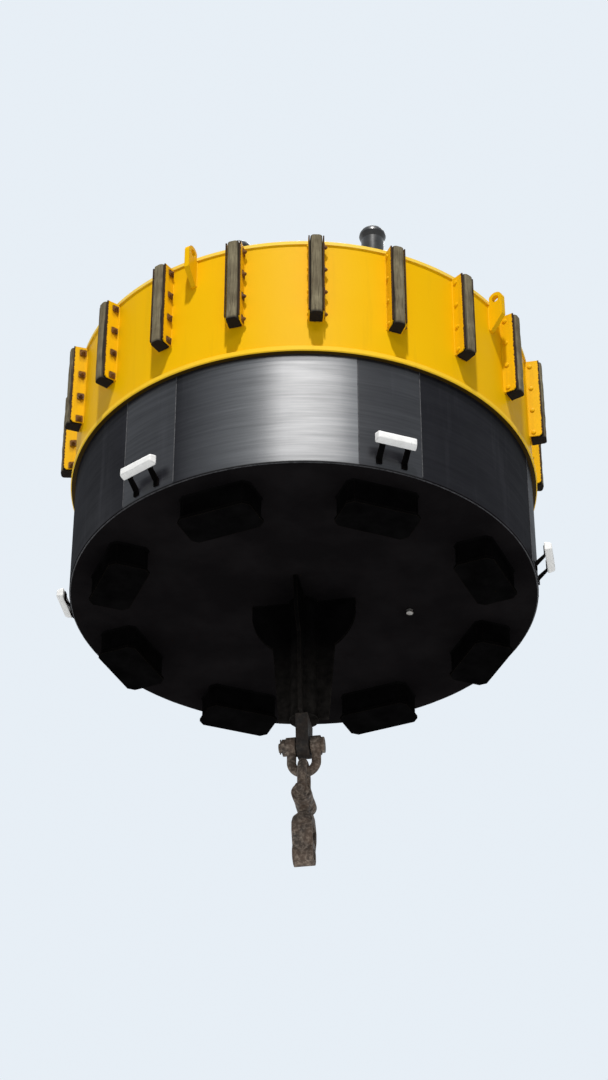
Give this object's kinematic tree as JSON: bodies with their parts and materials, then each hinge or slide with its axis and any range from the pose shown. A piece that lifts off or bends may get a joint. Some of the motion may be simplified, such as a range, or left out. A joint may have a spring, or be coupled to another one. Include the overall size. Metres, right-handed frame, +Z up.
{
  "type": "mooring buoy",
  "caption": "Drum-shaped steel mooring buoy with a fendered yellow band, black lower shell, chain pedestal with shackles and swivel, lifting lugs and a slewing deck hook.",
  "frame": {"origin": "on the hull's axis at the waterline, where the yellow band meets the black shell", "axes": "+Z up along the hull's axis; -Y faces the picture's view"},
  "size_m": [3.8789, 3.8832, 5.1355],
  "materials": {
    "black_hull": "glossy",
    "yellow_hull": "satin",
    "yellow_deck": "rough",
    "fender_timber": "rough",
    "anode_metal": "cast",
    "rusty_steel": "rusty",
    "bare_steel": "satin",
    "black_gear": "glossy",
    "hook_steel": "worn",
    "lever_paint": "satin"
  },
  "bodies": {
    "hull": {"lower_shell": "black_hull", "band_lip": "yellow_hull", "upper_shell": "yellow_hull", "rim_ring": "yellow_hull", "deck_plate": "yellow_deck", "fender_brackets": "yellow_hull", "fender_strips": "fender_timber", "bottom_feet": "black_hull", "bottom_plug": "bare_steel", "anode_bars": "anode_metal", "anode_straps": "bare_steel", "pedestal_tube": "rusty_steel", "pedestal_gussets": "black_hull", "pedestal_padeye": "rusty_steel", "lifting_lugs": "yellow_hull", "manhole_coaming": "yellow_deck", "manhole_cover": "yellow_deck", "bollards": "black_gear", "hook_base": "black_gear", "hook_base_ribs": "black_gear"},
    "upper_shackle": {"upper_shackle": "rusty_steel", "upper_shackle_pin": "rusty_steel"},
    "lower_shackle": {"lower_shackle": "rusty_steel", "lower_shackle_pin": "rusty_steel"},
    "swivel_eye": {"swivel_eye": "rusty_steel"},
    "swivel_bow": {"swivel_bow": "rusty_steel"},
    "turntable": {"hook_turntable": "black_gear", "hook_cheeks": "black_gear", "hook_pin": "bare_steel", "release_pin": "bare_steel"},
    "hook_arm": {"hook_arm": "hook_steel"},
    "release_lever": {"release_lever": "lever_paint"}
  },
  "joints": [
    {"name": "upper_shackle_swing", "type": "hinge", "parent": "hull", "child": "upper_shackle", "pos_m": [0, 0, -2.272], "axis": [0.9903, -0.1392, 0], "range_deg": [-70, 70]},
    {"name": "lower_shackle_swing", "type": "hinge", "parent": "upper_shackle", "child": "lower_shackle", "pos_m": [0, 0, -2.4265], "axis": [0.1392, 0.9903, 0], "range_deg": [-55, 55]},
    {"name": "swivel_swing", "type": "hinge", "parent": "lower_shackle", "child": "swivel_eye", "pos_m": [0, 0, -2.7265], "axis": [0.1392, 0.9903, 0], "range_deg": [-70, 70]},
    {"name": "swivel_turn", "type": "hinge", "parent": "swivel_eye", "child": "swivel_bow", "pos_m": [0, 0, -2.9185], "axis": [0, 0, 1], "continuous": true},
    {"name": "hook_slew", "type": "hinge", "parent": "hull", "child": "turntable", "pos_m": [0, 0, 1.3005], "axis": [0, 0, 1], "continuous": true},
    {"name": "hook_trip", "type": "hinge", "parent": "turntable", "child": "hook_arm", "pos_m": [0.20749, -0.11033, 1.5005], "axis": [0.4695, 0.8829, 0], "range_deg": [0, 95]},
    {"name": "lever_pull", "type": "hinge", "parent": "turntable", "child": "release_lever", "pos_m": [-0.15452, 0.08216, 1.6155], "axis": [0.4695, 0.8829, 0], "range_deg": [0, 40]}
  ]
}
